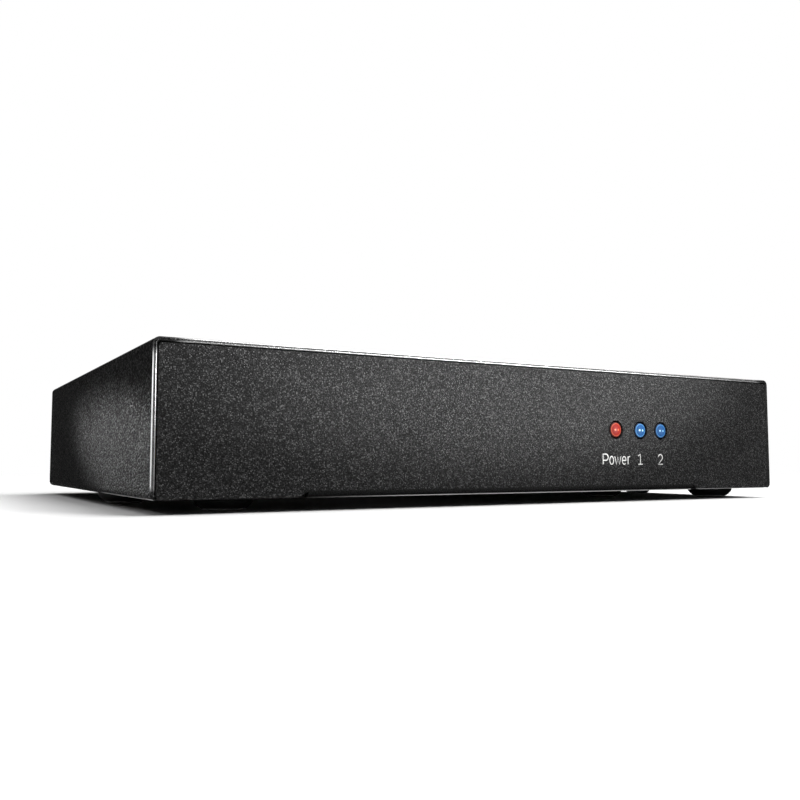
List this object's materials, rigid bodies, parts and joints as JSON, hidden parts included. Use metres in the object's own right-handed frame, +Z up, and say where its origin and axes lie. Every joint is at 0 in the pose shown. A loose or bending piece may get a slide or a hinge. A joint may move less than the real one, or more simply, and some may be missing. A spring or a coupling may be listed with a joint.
{
  "type": "dvi splitter",
  "caption": "Flat black folded-steel box that copies one DVI picture signal to two screens: lamps in front, DVI sockets and power jack behind, low rubber feet.",
  "frame": {"origin": "on the ground under the middle of the whole object, which reaches from the lamp domes to the ends of the jack posts", "axes": "+Z up, front wall with the lamps towards -Y, rear wall with the sockets towards +Y, +X to the right seen from the front"},
  "size_m": [0.142, 0.1124, 0.0272],
  "materials": {
    "black_plastic": "moulded, satin",
    "blue_lamp": "blue tinted clear epoxy",
    "board_green": "green solder mask",
    "can_metal": "bright can",
    "chip_black": "black epoxy",
    "foot_rubber": "matt black rubber",
    "gold_contacts": "gold flash on bronze",
    "inductor_ferrite": "pressed ferrite",
    "jack_posts": "nickel-plated, turned",
    "nickel_shell": "satin nickel plate",
    "powder_coat": "fine sandy black powder coat",
    "red_lamp": "red tinted clear epoxy",
    "socket_plastic": "moulded insulator",
    "solder_leads": "tinned",
    "zinc_screws": "zinc-plated steel"
  },
  "bodies": {
    "root": {"base_tray": "powder_coat", "board_screws": "zinc_screws", "board_standoffs": "zinc_screws", "circuit_board": "board_green", "clock_crystal": "can_metal", "cover_screws": "zinc_screws", "filter_capacitors": "chip_black", "input_jack_posts": "jack_posts", "input_socket_contacts": "gold_contacts", "input_socket_insulator": "socket_plastic", "input_socket_shell": "nickel_shell", "line_resistors": "chip_black", "memory_chips": "chip_black", "output_1_jack_posts": "jack_posts", "output_1_lamp": "blue_lamp", "output_1_lamp_leads": "solder_leads", "output_1_socket_contacts": "gold_contacts", "output_1_socket_insulator": "socket_plastic", "output_1_socket_shell": "nickel_shell", "output_2_jack_posts": "jack_posts", "output_2_lamp": "blue_lamp", "output_2_lamp_leads": "solder_leads", "output_2_socket_contacts": "gold_contacts", "output_2_socket_insulator": "socket_plastic", "output_2_socket_shell": "nickel_shell", "power_inductor": "inductor_ferrite", "power_jack_body": "black_plastic", "power_jack_pin": "solder_leads", "power_jack_spring": "solder_leads", "power_lamp": "red_lamp", "power_lamp_leads": "solder_leads", "rubber_feet": "foot_rubber", "splitter_chip": "chip_black", "voltage_regulator": "chip_black", "wrap_cover": "powder_coat"}
  },
  "joints": []
}
